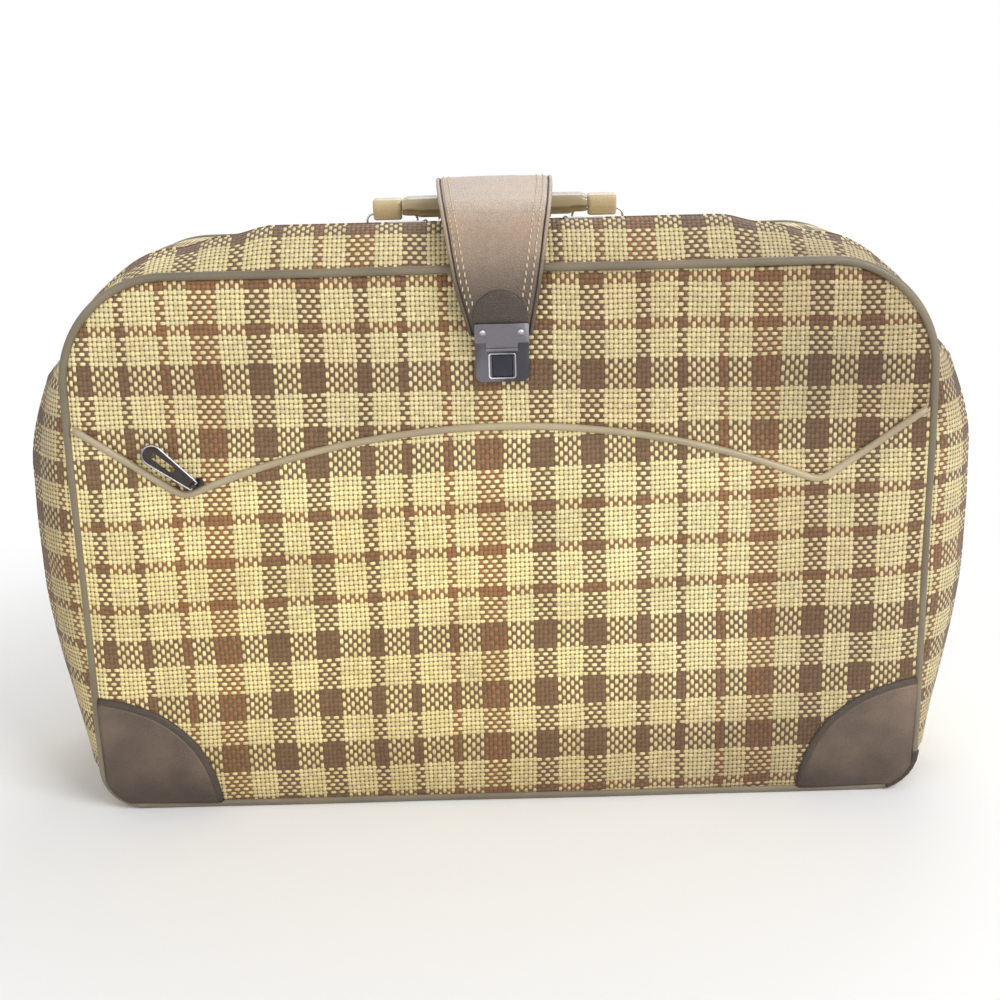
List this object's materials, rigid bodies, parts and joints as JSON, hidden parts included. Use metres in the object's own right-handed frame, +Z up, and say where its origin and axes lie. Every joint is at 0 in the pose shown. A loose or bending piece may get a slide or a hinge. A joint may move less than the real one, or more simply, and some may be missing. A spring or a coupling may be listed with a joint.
{
  "type": "suitcase",
  "caption": "Soft-sided upright suitcase with a zipped lid hinged at the bottom, a zipped front pocket, a low handle and a strap with a press lock.",
  "frame": {"origin": "on the floor under the middle of the closed case", "axes": "+X to the right seen from the front, -Y out of the front pocket, +Z up"},
  "size_m": [0.6432, 0.2047, 0.4115],
  "materials": {
    "cloth": "plaid basket weave in cream, brown and rust yarns",
    "piping": "taupe vinyl, satin",
    "brown_vinyl": "grained brown vinyl",
    "tan_vinyl": "smooth tan vinyl, slightly glossy",
    "lining": "plain lining cloth",
    "board": "plain fibreboard",
    "zip_tape": "woven zip tape with moulded teeth",
    "spring_steel": "dark spring steel",
    "nickel": "aged nickel plate",
    "gunmetal": "dull gunmetal",
    "dark_plastic": "dark blue-black"
  },
  "bodies": {
    "rear_half": {"rear_gusset": "cloth", "back_panel": "cloth", "back_board": "board", "rear_lining": "lining", "rear_wall_lining": "lining", "inner_pocket": "lining", "back_piping": "piping", "rear_hoop": "spring_steel", "rear_zip_half": "zip_tape", "rear_hinge_tape": "lining", "back_corner_patch_left": "brown_vinyl", "back_corner_patch_right": "brown_vinyl", "strap_anchor": "brown_vinyl", "strap_bar": "nickel", "anchor_rivet_left": "nickel", "anchor_rivet_right": "nickel", "handle_chape_left": "nickel", "handle_chape_right": "nickel"},
    "lid": {"lid_gusset": "cloth", "front_panel": "cloth", "front_board": "board", "lid_lining": "lining", "front_piping": "piping", "lid_hoop": "spring_steel", "lid_zip_half": "zip_tape", "lid_hinge_tape": "lining", "pocket_panel": "cloth", "pocket_piping": "piping", "pocket_zip_tape": "zip_tape", "corner_patch_left": "brown_vinyl", "corner_patch_right": "brown_vinyl", "piping_sleeve": "piping", "lock_case": "nickel"},
    "lock_button": {"lock_button": "dark_plastic"},
    "pocket_zip_slider": {"pocket_slider": "gunmetal"},
    "pocket_zip_pull": {"pocket_pull": "gunmetal"},
    "main_slider_left": {"main_slider_left": "gunmetal"},
    "main_slider_right": {"main_slider_right": "gunmetal"},
    "main_pull_left": {"main_pull_left": "gunmetal"},
    "main_pull_right": {"main_pull_right": "gunmetal"},
    "strap_back": {"strap_back": "brown_vinyl"},
    "strap_front": {"strap_front": "brown_vinyl", "strap_end_patch": "brown_vinyl", "hasp_plate": "nickel", "hasp_rivet_left": "nickel", "hasp_rivet_right": "nickel"},
    "handle_rings": {"handle_ring_left": "nickel", "handle_ring_right": "nickel"},
    "handle": {"handle_grip": "tan_vinyl", "handle_tab_left": "tan_vinyl", "handle_tab_right": "tan_vinyl"}
  },
  "joints": [
    {"name": "lid_hinge", "type": "hinge", "parent": "rear_half", "child": "lid", "pos_m": [0, -0.052, 0], "axis": [1, 0, 0], "range_deg": [0, 60]},
    {"name": "strap_swing", "type": "hinge", "parent": "rear_half", "child": "strap_back", "pos_m": [0, 0.0965, 0.378], "axis": [-1, 0, 0], "range_deg": [0, 200]},
    {"name": "strap_fold", "type": "hinge", "parent": "strap_back", "child": "strap_front", "pos_m": [0, -0.0081, 0.41024], "axis": [-1, 0, 0], "range_deg": [0, 140]},
    {"name": "handle_ring_swing", "type": "hinge", "parent": "rear_half", "child": "handle_rings", "pos_m": [0, 0.035, 0.37533], "axis": [1, 0, 0], "range_deg": [-30, 30]},
    {"name": "handle_tilt", "type": "hinge", "parent": "handle_rings", "child": "handle", "pos_m": [0, 0.035, 0.38773], "axis": [1, 0, 0], "range_deg": [-25, 25]},
    {"name": "lock_button_push", "type": "slide", "parent": "lid", "child": "lock_button", "axis": [0, 1, 0], "range_m": [0, 0.0022], "stiffness_N_per_m": 800, "springref_m": -0.001},
    {"name": "pocket_zip_slide", "type": "hinge", "parent": "lid", "child": "pocket_zip_slider", "pos_m": [0, -0.0936, -0.26], "axis": [0, 1, 0], "range_deg": [0, 43.8]},
    {"name": "pocket_pull_flip", "type": "hinge", "parent": "pocket_zip_slider", "child": "pocket_zip_pull", "pos_m": [-0.19831, -0.09864, 0.23301], "axis": [0.6428, 0, 0.766], "range_deg": [0, 100]},
    {"name": "main_slide_left", "type": "slide", "parent": "rear_half", "child": "main_slider_left", "axis": [-1, 0, 0], "range_m": [0, 0.084]},
    {"name": "main_slide_right", "type": "slide", "parent": "rear_half", "child": "main_slider_right", "axis": [1, 0, 0], "range_m": [0, 0.084]},
    {"name": "main_pull_flip_left", "type": "hinge", "parent": "main_slider_left", "child": "main_pull_left", "pos_m": [-0.045, -0.052, 0.3922], "axis": [0, 1, 0], "range_deg": [0, 100]},
    {"name": "main_pull_flip_right", "type": "hinge", "parent": "main_slider_right", "child": "main_pull_right", "pos_m": [0.045, -0.052, 0.3922], "axis": [0, -1, 0], "range_deg": [0, 100]}
  ],
  "couplings": [
    {"joint": "strap_swing", "follows": "lid_hinge", "ratio": 3.3333},
    {"joint": "strap_fold", "follows": "lid_hinge", "ratio": 2.3333}
  ]
}
